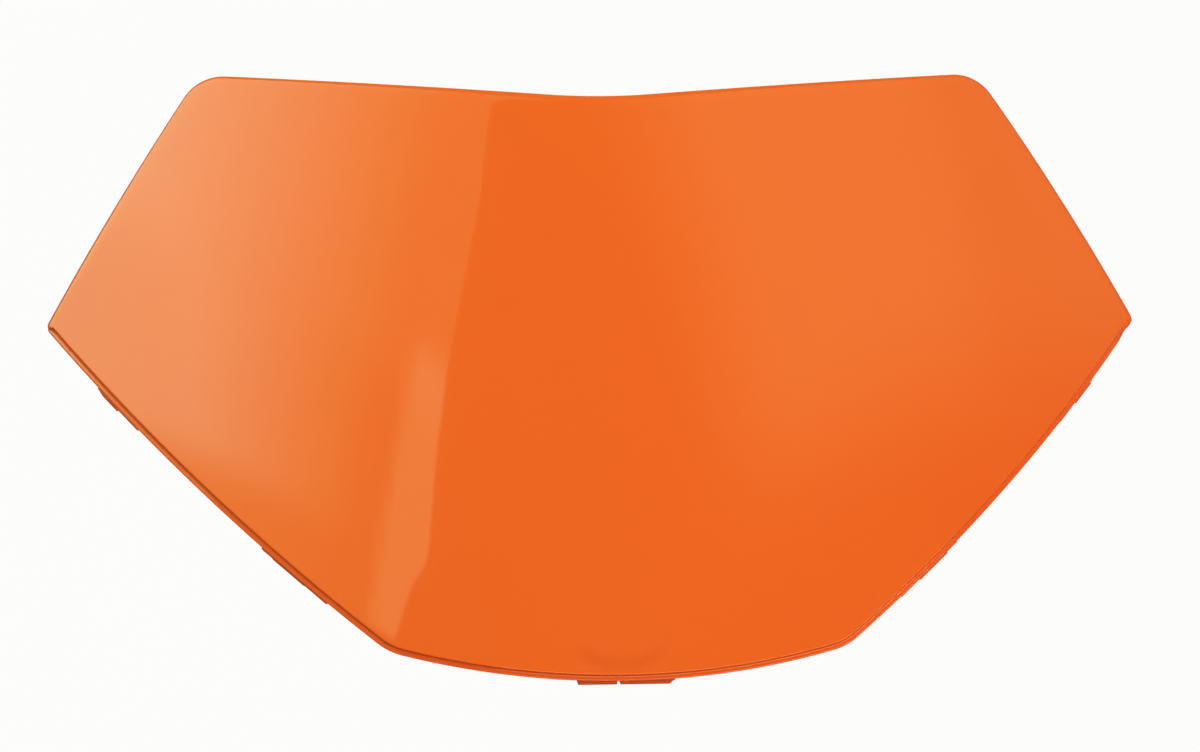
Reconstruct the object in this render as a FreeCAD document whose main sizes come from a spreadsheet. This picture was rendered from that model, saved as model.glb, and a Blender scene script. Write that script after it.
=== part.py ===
"""Headlight number plate of an off-road motorbike: one moulded sheet that clips into a headlight mask.

The plate faces -Y and stands leaning back, with +Z up and +X to the viewer's right. The origin is the
bottom of the face on the plate's centre line, where the bottom clip holds it.
The face is a patch of a barrel: a gently crowned section turned about an axis that leans back with it.
Everything that follows the face is a layer between two depths behind it, cut to a front view outline.
"""
import FreeCAD, Part
import math
import os
import Sketcher

NODE = "number_plate"

# Driving dimensions: name, value in millimetres or degrees, what it measures
SIZES = [
    ("plate_width", 250.0, "between the side tips, before rounding"),
    ("tip_height", 77.9, "of the side tips above the bottom of the face, before rounding"),
    ("top_corner_spread", 180.0, "between the top corners, before rounding"),
    ("top_corner_height", 135.6, "of the top corners, before rounding"),
    ("notch_height", 128.6, "of the shallow notch in the middle of the top edge"),
    ("bottom_corner_spread", 99.9, "between the bottom corners, before rounding"),
    ("bottom_corner_height", 6.5, "of the bottom corners, before rounding"),
    ("side_edge_radius", 813.0, "of the gently bowed side edges"),
    ("lower_edge_radius", 523.0, "of the bowed lower edges"),
    ("notch_radius", 150.0, "of the notch in the top edge"),
    ("top_corner_radius", 10.3, "of the top corners"),
    ("tip_radius", 1.8, "of the side tips"),
    ("bottom_corner_radius", 14.0, "of the bottom corners"),
    ("barrel_radius", 241.8, "of the face about its leaning axis, at the waist"),
    ("barrel_lean", 19.85, "of the axis, backwards from upright"),
    ("crown_radius", 700.0, "of the face's section along the axis"),
    ("waist_rise", 64.4, "from the bottom of the face to the waist, along the axis"),
    ("panel_wall", 2.2, "thickness of the panel"),
    ("rim_wall", 2.4, "thickness of the rim that turns back all round the panel"),
    ("rim_depth", 7.0, "of the rim behind the face"),
    ("edge_roll", 1.0, "radius of the rolled front edge"),
    ("flange_width", 1.4, "of the lowered flange along the lower edges"),
    ("flange_step", 1.3, "from the face down to the flange"),
    ("clip_wall", 2.2, "thickness of a clip's tab"),
    ("clip_reach", 12.0, "of a clip's tab behind the face"),
    ("clip_proud", 0.3, "of a clip's tab beyond the plate's edge"),
    ("clip_setback", 3.0, "from the face to where the tab stands proud"),
    ("side_nose_proud", 0.8, "of a side clip's nose beyond the plate's edge"),
    ("bottom_nose_proud", 1.15, "of the bottom clip's nose beyond the plate's edge"),
    ("nose_setback", 5.0, "from the face to the front of the nose"),
    ("nose_land", 1.2, "length of the nose's flat crest"),
    ("upper_clip_along", 24.8, "from the side tip to the upper clip, along the lower edge"),
    ("upper_clip_width", 15.7, "of the upper clip's tab, along the edge"),
    ("upper_nose_width", 8.0, "of the upper clip's nose, along the edge"),
    ("upper_nose_shift", 3.8, "of the upper clip's nose towards the side tip"),
    ("lower_clip_along", 78.1, "from the side tip to the lower clip, along the lower edge"),
    ("lower_clip_width", 20.1, "of the lower clip's tab, along the edge"),
    ("lower_nose_width", 9.5, "of the lower clip's nose, along the edge"),
    ("lower_nose_shift", 1.5, "of the lower clip's nose towards the side tip"),
    ("bottom_clip_width", 22.4, "of the bottom clip's tab"),
    ("bottom_nose_width", 20.0, "of the bottom clip's nose"),
    ("bottom_slit_width", 0.6, "of the slit that parts the bottom clip into two fingers"),
    ("gusset_wall", 1.2, "thickness of the gussets behind the clips"),
    ("gusset_foot", 6.0, "length of a gusset along the panel"),
    ("gusset_height", 9.0, "of a gusset behind the face"),
    ("brace_radius", 17.3, "of the curved brace above the bottom clip"),
    ("brace_width", 19.5, "of the brace from end to end"),
    ("brace_rise", 4.2, "from the bottom of the face to the brace's lowest point"),
    ("brace_wall", 1.6, "thickness of the brace"),
    ("brace_depth", 8.0, "of the brace behind the face"),
]
# The layers are turned this far about the axis, well past the plate's tips
SWEEP_DEGREES = 120
ON_SURFACE = 0.001

doc = FreeCAD.newDocument("headlight_number_plate")
dims = doc.addObject("Spreadsheet::Sheet", "dims")
for row, (alias, value, meaning) in enumerate(SIZES, start=1):
    dims.set(f"A{row}", alias)
    dims.set(f"B{row}", str(value))
    dims.setAlias(f"B{row}", alias)
    dims.set(f"C{row}", meaning)
doc.recompute()


def size(alias):
    """Gives one of the sheet's sizes as a number."""
    return float(dims.get(alias))


def point(x, y):
    """Gives a point of a sketch's own plane."""
    return FreeCAD.Vector(x, y, 0)


def bound(sketch, expression, *constraint):
    """Adds a dimension to a sketch and binds it to an expression in the sheet's sizes."""
    value = float(sketch.evalExpression(expression))
    index = sketch.addConstraint(Sketcher.Constraint(*constraint, value))
    sketch.setExpression(f"Constraints[{index}]", expression)


def arc_between(start, end, radius):
    """Gives the short arc that turns anticlockwise from one point to another."""
    chord = end - start
    to_centre = math.sqrt(radius ** 2 - (chord.Length / 2) ** 2) / chord.Length
    centre = (start + end) / 2 + point(-chord.y, chord.x) * to_centre
    start_angle = math.atan2(start.y - centre.y, start.x - centre.x)
    end_angle = math.atan2(end.y - centre.y, end.x - centre.x)
    circle = Part.Circle(centre, FreeCAD.Vector(0, 0, 1), radius)
    return Part.ArcOfCircle(circle, start_angle, end_angle)


# Front view: sketch x is +X, sketch y is +Z
FRONT_VIEW = FreeCAD.Placement(FreeCAD.Vector(), FreeCAD.Rotation(FreeCAD.Vector(1, 0, 0), 90))
# Front view turned so that sketch x is +Z
FRONT_VIEW_UPRIGHT = FreeCAD.Placement(
    FreeCAD.Vector(),
    FreeCAD.Rotation(FreeCAD.Vector(0, 0, 1), FreeCAD.Vector(-1, 0, 0), FreeCAD.Vector(0, -1, 0), "XYZ"),
)
# A sketch's own origin, as the start of its x axis, and its two axes
ORIGIN = (-1, 1)
ACROSS, UPRIGHT = -1, -2


def draw_outline():
    """Draws the plate's outline with sharp corners, anticlockwise from the notch in the top edge."""
    sketch = doc.addObject("Sketcher::SketchObject", "outline")
    sketch.Placement = FRONT_VIEW
    tip = point(size("plate_width") / 2, size("tip_height"))
    top = point(size("top_corner_spread") / 2, size("top_corner_height"))
    low = point(size("bottom_corner_spread") / 2, size("bottom_corner_height"))
    notch = point(0, size("notch_height"))
    left_tip, left_top, left_low = (point(-corner.x, corner.y) for corner in (tip, top, low))
    bottom_radius = (low.x ** 2 + low.y ** 2) / (2 * low.y)
    side_radius = size("side_edge_radius")
    lower_radius = size("lower_edge_radius")
    sketch.addGeometry(Part.LineSegment(notch, left_top))
    sketch.addGeometry(arc_between(left_top, left_tip, side_radius))
    sketch.addGeometry(arc_between(left_tip, left_low, lower_radius))
    sketch.addGeometry(arc_between(left_low, low, bottom_radius))
    sketch.addGeometry(arc_between(low, tip, lower_radius))
    sketch.addGeometry(arc_between(tip, top, side_radius))
    sketch.addGeometry(Part.LineSegment(top, notch))
    edge_count = sketch.GeometryCount
    for edge in range(edge_count):
        sketch.addConstraint(Sketcher.Constraint("Coincident", edge, 2, (edge + 1) % edge_count, 1))
    for edge, left_edge, spread, height in (
        (5, 1, "dims.plate_width", "dims.tip_height"),
        (6, 0, "dims.top_corner_spread", "dims.top_corner_height"),
        (4, 2, "dims.bottom_corner_spread", "dims.bottom_corner_height"),
    ):
        bound(sketch, f"{spread} / 2", "DistanceX", *ORIGIN, edge, 1)
        bound(sketch, height, "DistanceY", *ORIGIN, edge, 1)
        sketch.addConstraint(Sketcher.Constraint("Symmetric", left_edge, 2, edge, 1, UPRIGHT))
    sketch.addConstraint(Sketcher.Constraint("PointOnObject", 0, 1, UPRIGHT))
    bound(sketch, "dims.notch_height", "DistanceY", *ORIGIN, 0, 1)
    for edge, left_edge, radius in ((5, 1, "dims.side_edge_radius"), (4, 2, "dims.lower_edge_radius")):
        bound(sketch, radius, "Radius", edge)
        sketch.addConstraint(Sketcher.Constraint("Equal", edge, left_edge))
    sketch.addConstraint(Sketcher.Constraint("PointOnObject", *ORIGIN, 3))
    return sketch


def draw_arc_band(name, centre, outer, inner, half_span):
    """Draws a band between two arcs about one centre on the sketch's x axis, cut off at the same span."""
    sketch = doc.addObject("Sketcher::SketchObject", name)
    centre_x, outer_radius, inner_radius, reach = (
        float(sketch.evalExpression(text)) for text in (centre, outer, inner, half_span)
    )

    def end_of(radius, y):
        return point(centre_x - math.sqrt(radius ** 2 - y ** 2), y)

    for radius in (outer_radius, inner_radius):
        sketch.addGeometry(arc_between(end_of(radius, reach), end_of(radius, -reach), radius))
    sketch.addGeometry(Part.LineSegment(end_of(outer_radius, reach), end_of(inner_radius, reach)))
    sketch.addGeometry(Part.LineSegment(end_of(outer_radius, -reach), end_of(inner_radius, -reach)))
    for first, first_end, second, second_end in ((2, 1, 0, 1), (2, 2, 1, 1), (3, 1, 0, 2), (3, 2, 1, 2)):
        sketch.addConstraint(Sketcher.Constraint("Coincident", first, first_end, second, second_end))
    sketch.addConstraint(Sketcher.Constraint("Coincident", 0, 3, 1, 3))
    sketch.addConstraint(Sketcher.Constraint("PointOnObject", 0, 3, ACROSS))
    sketch.addConstraint(Sketcher.Constraint("Horizontal", 2))
    sketch.addConstraint(Sketcher.Constraint("Horizontal", 3))
    bound(sketch, centre, "DistanceX", *ORIGIN, 0, 3)
    bound(sketch, outer, "Radius", 0)
    bound(sketch, inner, "Radius", 1)
    bound(sketch, half_span, "DistanceY", *ORIGIN, 0, 1)
    bound(sketch, half_span, "DistanceY", 0, 2, *ORIGIN)
    return sketch


def draw_polygon(name, corners):
    """Draws a closed polygon whose corners are pairs of expressions in the sheet's sizes."""
    sketch = doc.addObject("Sketcher::SketchObject", name)
    points = [point(*(float(sketch.evalExpression(text)) for text in corner)) for corner in corners]
    count = len(points)
    for start in range(count):
        sketch.addGeometry(Part.LineSegment(points[start], points[(start + 1) % count]))
    for edge, (x, y) in enumerate(corners):
        sketch.addConstraint(Sketcher.Constraint("Coincident", edge, 2, (edge + 1) % count, 1))
        bound(sketch, x, "DistanceX", *ORIGIN, edge, 1)
        bound(sketch, y, "DistanceY", *ORIGIN, edge, 1)
    return sketch


def extrude(name, sketch, forward, backward, direction=None):
    """Extrudes a sketch to both sides of its plane, each by an expression in the sheet's sizes.

    The way is along the direction, or square to the sketch if none is given.
    """
    solid = doc.addObject("Part::Extrusion", name)
    solid.Base = sketch
    solid.DirMode = "Normal"
    if direction:
        solid.DirMode = "Custom"
        solid.Dir = direction
    solid.Solid = True
    solid.setExpression("LengthFwd", forward)
    solid.setExpression("LengthRev", backward)
    return solid


def fuse(name, *solids):
    """Joins solids into one."""
    whole = doc.addObject("Part::MultiFuse", name)
    whole.Shapes = list(solids)
    return whole


def common(name, *solids):
    """Keeps what solids share."""
    shared = doc.addObject("Part::MultiCommon", name)
    shared.Shapes = list(solids)
    return shared


def cut(name, base, tool):
    """Cuts one solid away from another."""
    rest = doc.addObject("Part::Cut", name)
    rest.Base = base
    rest.Tool = tool
    return rest


def mirror(name, solid):
    """Mirrors a solid to the other side of the plate."""
    image = doc.addObject("Part::Mirroring", name)
    image.Source = solid
    image.Normal = FreeCAD.Vector(1, 0, 0)
    return image


def fillet(name, base, edges):
    """Rounds edges of a solid, given as pairs of an edge's number and its radius."""
    rounded = doc.addObject("Part::Fillet", name)
    rounded.Base = base
    rounded.Edges = [(number, radius, radius) for number, radius in edges]
    return rounded


def corner_radius(x, z, inset):
    """Gives the rounding of the outline's corner at x, z, for an outline set in by inset."""
    if abs(x) < size("bottom_corner_spread") / 4:
        return size("notch_radius") + inset
    if abs(x) > (size("plate_width") + size("top_corner_spread")) / 4:
        return size("tip_radius") - inset
    if z > size("tip_height"):
        return size("top_corner_radius") - inset
    return size("bottom_corner_radius") - inset


def rounded_prism(name, outline, inset):
    """Carries an outline straight through the plate's depth and rounds its corners."""
    prism = extrude(f"{name}_sharp", outline, "dims.plate_width", "dims.plate_width")
    doc.recompute()
    corners = []
    for number, edge in enumerate(prism.Shape.Edges, start=1):
        middle = edge.CenterOfMass
        along_depth = edge.BoundBox.YLength > size("plate_width")
        radius = corner_radius(middle.x, middle.z, inset)
        on_plate = abs(middle.x) < (size("plate_width") + size("rim_depth")) / 2
        if along_depth and on_plate and radius > 0:
            corners.append((number, radius))
    return fillet(name, prism, corners)


# Placement of the face's section: its origin is the waist, its y axis the barrel's leaning direction
BOW = "(dims.crown_radius - sqrt(dims.crown_radius ^ 2 - dims.waist_rise ^ 2))"
SINE = "sin(dims.barrel_lean * 1 deg)"
COSINE = "cos(dims.barrel_lean * 1 deg)"
WAIST_Y = f"(dims.waist_rise * {SINE} - {BOW} * {COSINE})"
WAIST_Z = f"(dims.waist_rise * {COSINE} + {BOW} * {SINE})"


def face_layer(name, front, back):
    """Makes the solid between two depths behind the face, from arcs turned about the barrel's axis."""
    section = draw_arc_band(
        f"{name}_section",
        "dims.crown_radius",
        f"dims.crown_radius - {front}",
        f"dims.crown_radius - {back}",
        "dims.top_corner_height",
    )
    section.setExpression(
        "Placement", f"placement(vector(0; {WAIST_Y}; {WAIST_Z}); rotation(90; dims.barrel_lean; 90))"
    )
    layer = doc.addObject("Part::Revolution", name)
    layer.Source = section
    layer.Solid = True
    layer.Symmetric = True
    layer.Angle = SWEEP_DEGREES
    layer.setExpression("Axis.y", SINE)
    layer.setExpression("Axis.z", COSINE)
    layer.setExpression("Base.y", f"{WAIST_Y} + dims.barrel_radius * {COSINE}")
    layer.setExpression("Base.z", f"{WAIST_Z} - dims.barrel_radius * {SINE}")
    return layer


# The panel and the rim that turns back all round it
outline = draw_outline()
outer_prism = rounded_prism("outer_prism", outline, 0)
inner_outline = doc.addObject("Part::Offset2D", "inner_outline")
inner_outline.Source = outline
inner_outline.Join = "Intersection"
inner_outline.setExpression("Value", "-dims.rim_wall")
inner_prism = rounded_prism("inner_prism", inner_outline, size("rim_wall"))
panel_layer = face_layer("panel_layer", "0", "dims.panel_wall")
panel = common("panel", outer_prism, panel_layer)
rim_ring = cut("rim_ring", outer_prism, inner_prism)
rim = common("rim", rim_ring, face_layer("rim_layer", "dims.panel_wall / 2", "dims.rim_depth"))
tray = fuse("tray", panel, rim)
doc.recompute()


def face_of(layer):
    """Finds a layer's front: of its faces, the one that reaches furthest from the barrel's axis."""
    axis_point = layer.Base
    axis = layer.Axis

    def reach(face):
        middle = face.Surface.value(*(sum(face.ParameterRange[i:i + 2]) / 2 for i in (0, 2)))
        return (middle - axis_point).cross(axis).Length

    return max(layer.Shape.Faces, key=reach)


face = face_of(panel_layer)


def edges_on_face(solid):
    """Lists the numbers of the solid's edges that lie on the plate's face."""
    numbers = []
    for number, edge in enumerate(solid.Shape.Edges, start=1):
        middle = edge.valueAt(sum(edge.ParameterRange) / 2)
        if face.distToShape(Part.Vertex(middle))[0] < ON_SURFACE:
            numbers.append(number)
    return numbers


def face_depth(x, z):
    """Gives y on the plate's face at x, z."""
    reach = size("plate_width")
    ray = Part.makeLine(FreeCAD.Vector(x, -reach, z), FreeCAD.Vector(x, reach, z))
    return ray.common(panel_layer.Shape).BoundBox.YMin


# The rolled front edge, all round
rolled_tray = fillet("rolled_tray", tray, [(number, size("edge_roll")) for number in edges_on_face(tray)])


def draw_flange_strip():
    """Draws what lies outside the flange's inner edge: arcs set in from the lower edges, past the tips."""
    sketch = doc.addObject("Sketcher::SketchObject", "flange_strip")
    sketch.Placement = FRONT_VIEW
    for edge in ("Edge3", "Edge4", "Edge5"):
        sketch.addExternal(outline.Name, edge)
    far = size("plate_width") / 2 + size("rim_depth")
    below = -size("rim_depth")
    low_corner = point(size("bottom_corner_spread") / 2, size("bottom_corner_height") + size("flange_width"))
    left_low_corner = point(-low_corner.x, low_corner.y)
    left_edge, bottom_edge, right_edge = outline.Geometry[2:5]
    side_radius = left_edge.Radius - size("flange_width")
    bottom_radius = bottom_edge.Radius - size("flange_width")
    far_height = right_edge.Center.y - math.sqrt(side_radius ** 2 - (far - right_edge.Center.x) ** 2)
    sketch.addGeometry(arc_between(point(-far, far_height), left_low_corner, side_radius))
    sketch.addGeometry(arc_between(left_low_corner, low_corner, bottom_radius))
    sketch.addGeometry(arc_between(low_corner, point(far, far_height), side_radius))
    sketch.addGeometry(Part.LineSegment(point(far, far_height), point(far, below)))
    sketch.addGeometry(Part.LineSegment(point(far, below), point(-far, below)))
    sketch.addGeometry(Part.LineSegment(point(-far, below), point(-far, far_height)))
    edge_count = sketch.GeometryCount
    for edge in range(edge_count):
        sketch.addConstraint(Sketcher.Constraint("Coincident", edge, 2, (edge + 1) % edge_count, 1))
    for edge, plate_edge in ((0, -3), (1, -4), (2, -5)):
        sketch.addConstraint(Sketcher.Constraint("Coincident", edge, 3, plate_edge, 3))
    for edge in (3, 5):
        sketch.addConstraint(Sketcher.Constraint("Vertical", edge))
    sketch.addConstraint(Sketcher.Constraint("Horizontal", 4))
    bound(sketch, "dims.lower_edge_radius - dims.flange_width", "Radius", 0)
    sketch.addConstraint(Sketcher.Constraint("Equal", 0, 2))
    middle = sketch.addGeometry(Part.Point(point(0, size("flange_width"))), True)
    sketch.addConstraint(Sketcher.Constraint("PointOnObject", middle, 1, UPRIGHT))
    sketch.addConstraint(Sketcher.Constraint("PointOnObject", middle, 1, 1))
    bound(sketch, "dims.flange_width", "DistanceY", *ORIGIN, middle, 1)
    bound(sketch, "dims.plate_width / 2 + dims.rim_depth", "DistanceX", *ORIGIN, 2, 2)
    bound(sketch, "dims.plate_width / 2 + dims.rim_depth", "DistanceX", 0, 1, *ORIGIN)
    bound(sketch, "dims.rim_depth", "DistanceY", 4, 1, *ORIGIN)
    return sketch


# The flange: the face is lowered outside the strip's inner edge
strip = draw_flange_strip()
strip_prism = rounded_prism("strip_prism", strip, size("flange_width"))
step_cut = common("step_cut", strip_prism, face_layer("step_layer", "(-dims.rim_depth)", "dims.flange_step"))
stepped_tray = cut("stepped_tray", rolled_tray, step_cut)

# What stands on the panel's back starts half way into the panel
behind_panel = face_layer("behind_panel", "dims.panel_wall / 2", "2 * dims.clip_reach")


def clip(name, x, z, outward_angle, nose_proud, nose_shift="0"):
    """Makes a snap clip at x, z on the plate's edge: a tab with a ramped nose, and a gusset at each end.

    The profiles have their x axis pointing out of the plate's edge and their y axis backwards, and are
    carried along the edge, backwards with the face. The nose stands off the edge by nose_proud, and off
    the tab's middle by nose_shift.
    """
    placement = FreeCAD.Placement(
        FreeCAD.Vector(x, face_depth(x, z), z),
        FreeCAD.Rotation(FreeCAD.Vector(0, 1, 0), -math.degrees(outward_angle)),
    )
    along = FreeCAD.Vector(-math.sin(outward_angle), 0, math.cos(outward_angle))
    half_width = size(f"{name}_clip_width") / 2
    depth_ahead = face_depth(x + along.x * half_width, z + along.z * half_width)
    depth_behind = face_depth(x - along.x * half_width, z - along.z * half_width)
    along.y = (depth_ahead - depth_behind) / (2 * half_width)
    inside = "dims.clip_proud - dims.clip_wall"
    tab_profile = draw_polygon(f"{name}_tab_profile", (
        (inside, "dims.clip_setback"),
        ("dims.clip_proud", "dims.clip_setback"),
        ("dims.clip_proud", "dims.clip_reach"),
        (inside, "dims.clip_reach"),
    ))
    nose_profile = draw_polygon(f"{name}_nose_profile", (
        (inside, "dims.nose_setback"),
        (nose_proud, "dims.nose_setback"),
        (nose_proud, "dims.nose_setback + dims.nose_land"),
        ("dims.clip_proud", "dims.clip_reach"),
        (inside, "dims.clip_reach"),
    ))
    gusset_profile = draw_polygon(f"{name}_gusset_profile", (
        (inside, "0"),
        (inside, "dims.gusset_height"),
        (f"{inside} - dims.gusset_foot", "0"),
    ))
    for profile in (tab_profile, nose_profile, gusset_profile):
        profile.Placement = placement
    half_tab = f"dims.{name}_clip_width / 2"
    half_nose = f"dims.{name}_nose_width / 2"
    nose_ahead = f"{half_nose} + {nose_shift}"
    nose_behind = f"{half_nose} - {nose_shift}"
    to_gusset = f"dims.gusset_wall - {half_tab}"
    tab = extrude(f"{name}_tab", tab_profile, half_tab, half_tab, along)
    nose = extrude(f"{name}_nose", nose_profile, nose_ahead, nose_behind, along)
    far_gusset = extrude(f"{name}_far_gusset", gusset_profile, half_tab, to_gusset, along)
    near_gusset = extrude(f"{name}_near_gusset", gusset_profile, to_gusset, half_tab, along)
    gussets = fuse(f"{name}_gussets", far_gusset, near_gusset)
    seated_gussets = common(f"{name}_seated_gussets", gussets, behind_panel)
    return fuse(f"{name}_clip", tab, nose, seated_gussets)


def lower_edge_point(along):
    """Gives x, z and the outward direction on the right lower edge, at a length from the tip."""
    edge = outline.Geometry[4]
    angle = edge.LastParameter - along / edge.Radius
    spot = edge.Center + point(math.cos(angle), math.sin(angle)) * edge.Radius
    return spot.x, spot.y, angle


# Two clips on each lower edge and one at the bottom, which a slit parts into two fingers
upper_place = lower_edge_point(size("upper_clip_along"))
lower_place = lower_edge_point(size("lower_clip_along"))
upper_clip = clip("upper", *upper_place, "dims.side_nose_proud", "dims.upper_nose_shift")
lower_clip = clip("lower", *lower_place, "dims.side_nose_proud", "dims.lower_nose_shift")
whole_bottom_clip = clip("bottom", 0, 0, -math.pi / 2, "dims.bottom_nose_proud")
slit = doc.addObject("Part::Box", "bottom_slit")
slit.setExpression("Length", "dims.bottom_slit_width")
slit.setExpression("Width", "dims.clip_reach")
slit.setExpression("Height", "2 * dims.clip_wall + 2 * dims.bottom_nose_proud")
slit.setExpression("Placement.Base.x", "-dims.bottom_slit_width / 2")
slit.setExpression("Placement.Base.y", "dims.nose_setback")
slit.setExpression("Placement.Base.z", "-2 * dims.bottom_nose_proud")
bottom_clip = cut("bottom_clip_split", whole_bottom_clip, slit)

# The curved brace above the bottom clip
brace_section = draw_arc_band(
    "brace_section",
    "dims.brace_rise + dims.brace_radius",
    "dims.brace_radius",
    "dims.brace_radius - dims.brace_wall",
    "dims.brace_width / 2",
)
brace_section.Placement = FRONT_VIEW_UPRIGHT
brace_prism = extrude("brace_prism", brace_section, "dims.plate_width", "dims.plate_width")
brace = common("brace", brace_prism, face_layer("brace_layer", "dims.panel_wall / 2", "dims.brace_depth"))

plate = fuse(
    NODE,
    stepped_tray,
    upper_clip,
    mirror("left_upper_clip", upper_clip),
    lower_clip,
    mirror("left_lower_clip", lower_clip),
    bottom_clip,
    brace,
)
plate.Refine = True
plate.Label = NODE
doc.recompute()

failed = [item.Name for item in doc.Objects if "Invalid" in item.State or "Error" in item.State]
if failed:
    raise RuntimeError(f"not built: {failed}")
if plate.Shape.isNull() or not plate.Shape.isValid() or len(plate.Shape.Solids) != 1:
    raise RuntimeError(f"{NODE} is not one sound solid")
os.makedirs("parts", exist_ok=True)
plate.Shape.exportStep(f"parts/{plate.Label}.step")
print(f"{plate.Label}: {plate.Shape.Volume / 1000:.2f} cubic centimetres, {len(plate.Shape.Faces)} faces")
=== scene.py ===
"""Visual model of a headlight number plate: a glossy orange moulding with snap clips, in a pale studio.

Lengths of the plate are in millimetres until a mesh is made. The plate faces -Y and leans back, +Z is up.
"""
import logging
import math
from collections.abc import Sequence
from dataclasses import dataclass, field
from enum import Enum, IntEnum

import bpy
import numpy as np
from mathutils import Matrix, Vector


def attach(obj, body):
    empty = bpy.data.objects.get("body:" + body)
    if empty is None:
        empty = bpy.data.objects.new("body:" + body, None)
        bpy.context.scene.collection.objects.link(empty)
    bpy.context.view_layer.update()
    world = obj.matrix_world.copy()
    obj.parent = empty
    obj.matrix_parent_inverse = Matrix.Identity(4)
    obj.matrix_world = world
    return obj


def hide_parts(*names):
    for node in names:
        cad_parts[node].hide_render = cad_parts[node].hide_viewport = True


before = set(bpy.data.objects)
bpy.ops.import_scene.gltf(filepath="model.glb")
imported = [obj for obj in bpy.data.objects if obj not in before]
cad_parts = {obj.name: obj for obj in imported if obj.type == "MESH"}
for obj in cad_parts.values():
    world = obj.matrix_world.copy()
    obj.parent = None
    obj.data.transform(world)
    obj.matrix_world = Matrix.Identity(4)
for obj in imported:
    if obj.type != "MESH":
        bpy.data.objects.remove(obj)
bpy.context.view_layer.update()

MM = 0.001
NODE = "number_plate"
WELD = 1e-5
TINY = 0.05
SUPPORT = 0.1
STRAIGHT = 1e6
DEPTH_ROUNDS = 60
DEPTH_EASE = 0.7
CORNER_ROUNDS = 12

log = logging.getLogger("scene")

Colour = tuple[float, float, float]
Pair = tuple[float, float]
SURROUND: Colour = (0.25, 0.25, 0.25)
GRAINED: dict[str, np.ndarray] = {"inside": np.ones((1, 1)), "sink": np.zeros((1, 1))}


class Edge(Enum):
    """How a run of the plate's edge is shaped."""

    PLAIN = 0.0
    STEPPED = 1.0


class Run(IntEnum):
    """The runs of the plate's edge, anticlockwise. Each one starts at the corner with its number."""

    LEFT_SIDE = 0
    LEFT_LOWER = 1
    BOTTOM = 2
    RIGHT_LOWER = 3
    RIGHT_SIDE = 4
    RIGHT_TOP = 5
    LEFT_TOP = 6


class Hand(Enum):
    """Which half of the plate a clip is on."""

    LEFT = -1.0
    RIGHT = 1.0


def smooth(value: np.ndarray, low: float, high: float) -> np.ndarray:
    """Rises softly from 0 at low to 1 at high.

    Args:
        value: where to take the step.
        low: value that gives 0.
        high: value that gives 1, which may be below low.

    Returns:
        The step's height, with level ends.
    """
    t = np.clip((value - low) / (high - low), 0.0, 1.0)
    return t * t * (3.0 - 2.0 * t)


def unit(vector: np.ndarray) -> np.ndarray:
    """Scales vectors along the last axis to length 1."""
    return vector / np.linalg.norm(vector, axis=-1, keepdims=True)


def bend(
    before: Sequence[float], corner: Sequence[float], after: Sequence[float], reach: float, steps: int = 6
) -> np.ndarray:
    """Rounds a corner of a line with a curve that leaves both legs smoothly.

    A point a little further out on each leg keeps the legs' shading flat.

    Args:
        before: a place on the leg before the corner.
        corner: the corner.
        after: a place on the leg after it.
        reach: how far from the corner the curve starts and ends.
        steps: the number of points on the curve.

    Returns:
        The points from one leg to the other.
    """
    middle = np.array(corner)
    legs = [unit(np.array(place) - middle) for place in (before, after)]
    first, last = (middle + reach * leg for leg in legs)
    way = np.linspace(0.0, 1.0, steps)[:, None]
    curve = (1.0 - way) ** 2 * first + 2.0 * way * (1.0 - way) * middle + way**2 * last
    supports = [middle + (reach + SUPPORT) * leg for leg in legs]
    return np.vstack([supports[0], curve, supports[1]])


@dataclass
class Surface:
    """A mesh that is gathered from grids of points and welded where they meet."""

    points: list[np.ndarray] = field(default_factory=list)
    corners: list[np.ndarray] = field(default_factory=list)
    values: dict[str, list[np.ndarray]] = field(default_factory=dict)
    count: int = 0

    def grid(
        self, points: np.ndarray, wrap: bool = False, flip: bool = False, **values: np.ndarray
    ) -> None:
        """Adds the squares between the points of a grid.

        Args:
            points: array of rows, columns and x, y, z; the squares face along rows cross columns.
            wrap: joins the last column to the first.
            flip: turns the squares to face the other way.
            values: numbers at the points, by the name of their attribute.
        """
        rows, columns = points.shape[:2]
        index = np.arange(rows * columns).reshape(rows, columns) + self.count
        if wrap:
            index = np.concatenate([index, index[:, :1]], axis=1)
        squares = np.stack([index[:-1, :-1], index[1:, :-1], index[1:, 1:], index[:-1, 1:]], axis=-1)
        squares = squares.reshape(-1, 4)
        self.corners.append(squares[:, ::-1] if flip else squares)
        self.points.append(points.reshape(-1, 3))
        for name, value in values.items():
            self.values.setdefault(name, []).append(np.broadcast_to(value, (rows, columns)).reshape(-1))
        self.count += rows * columns

    def piece(self, name: str) -> bpy.types.Object:
        """Welds the grids and makes one smooth object of them.

        Args:
            name: the object's name.

        Returns:
            The object, at the origin, in metres.
        """
        points = np.concatenate(self.points)
        corners = np.concatenate(self.corners)
        _, first, welded = np.unique(
            np.round(points / WELD).astype(np.int64), axis=0, return_index=True, return_inverse=True
        )
        corners = welded.reshape(-1)[corners]
        faces = [list(dict.fromkeys(face)) for face in corners.tolist()]
        faces = [face for face in faces if len(face) > 2]
        mesh = bpy.data.meshes.new(name)
        mesh.from_pydata((points[first] * MM).tolist(), [], faces)
        mesh.polygons.foreach_set("use_smooth", np.ones(len(mesh.polygons), dtype=bool))
        for attribute, value in self.values.items():
            layer = mesh.attributes.new(attribute, "FLOAT", "POINT")
            layer.data.foreach_set("value", np.concatenate(value)[first].astype(np.float32))
        mesh.update()
        item = bpy.data.objects.new(name, mesh)
        bpy.context.scene.collection.objects.link(item)
        return item


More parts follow.
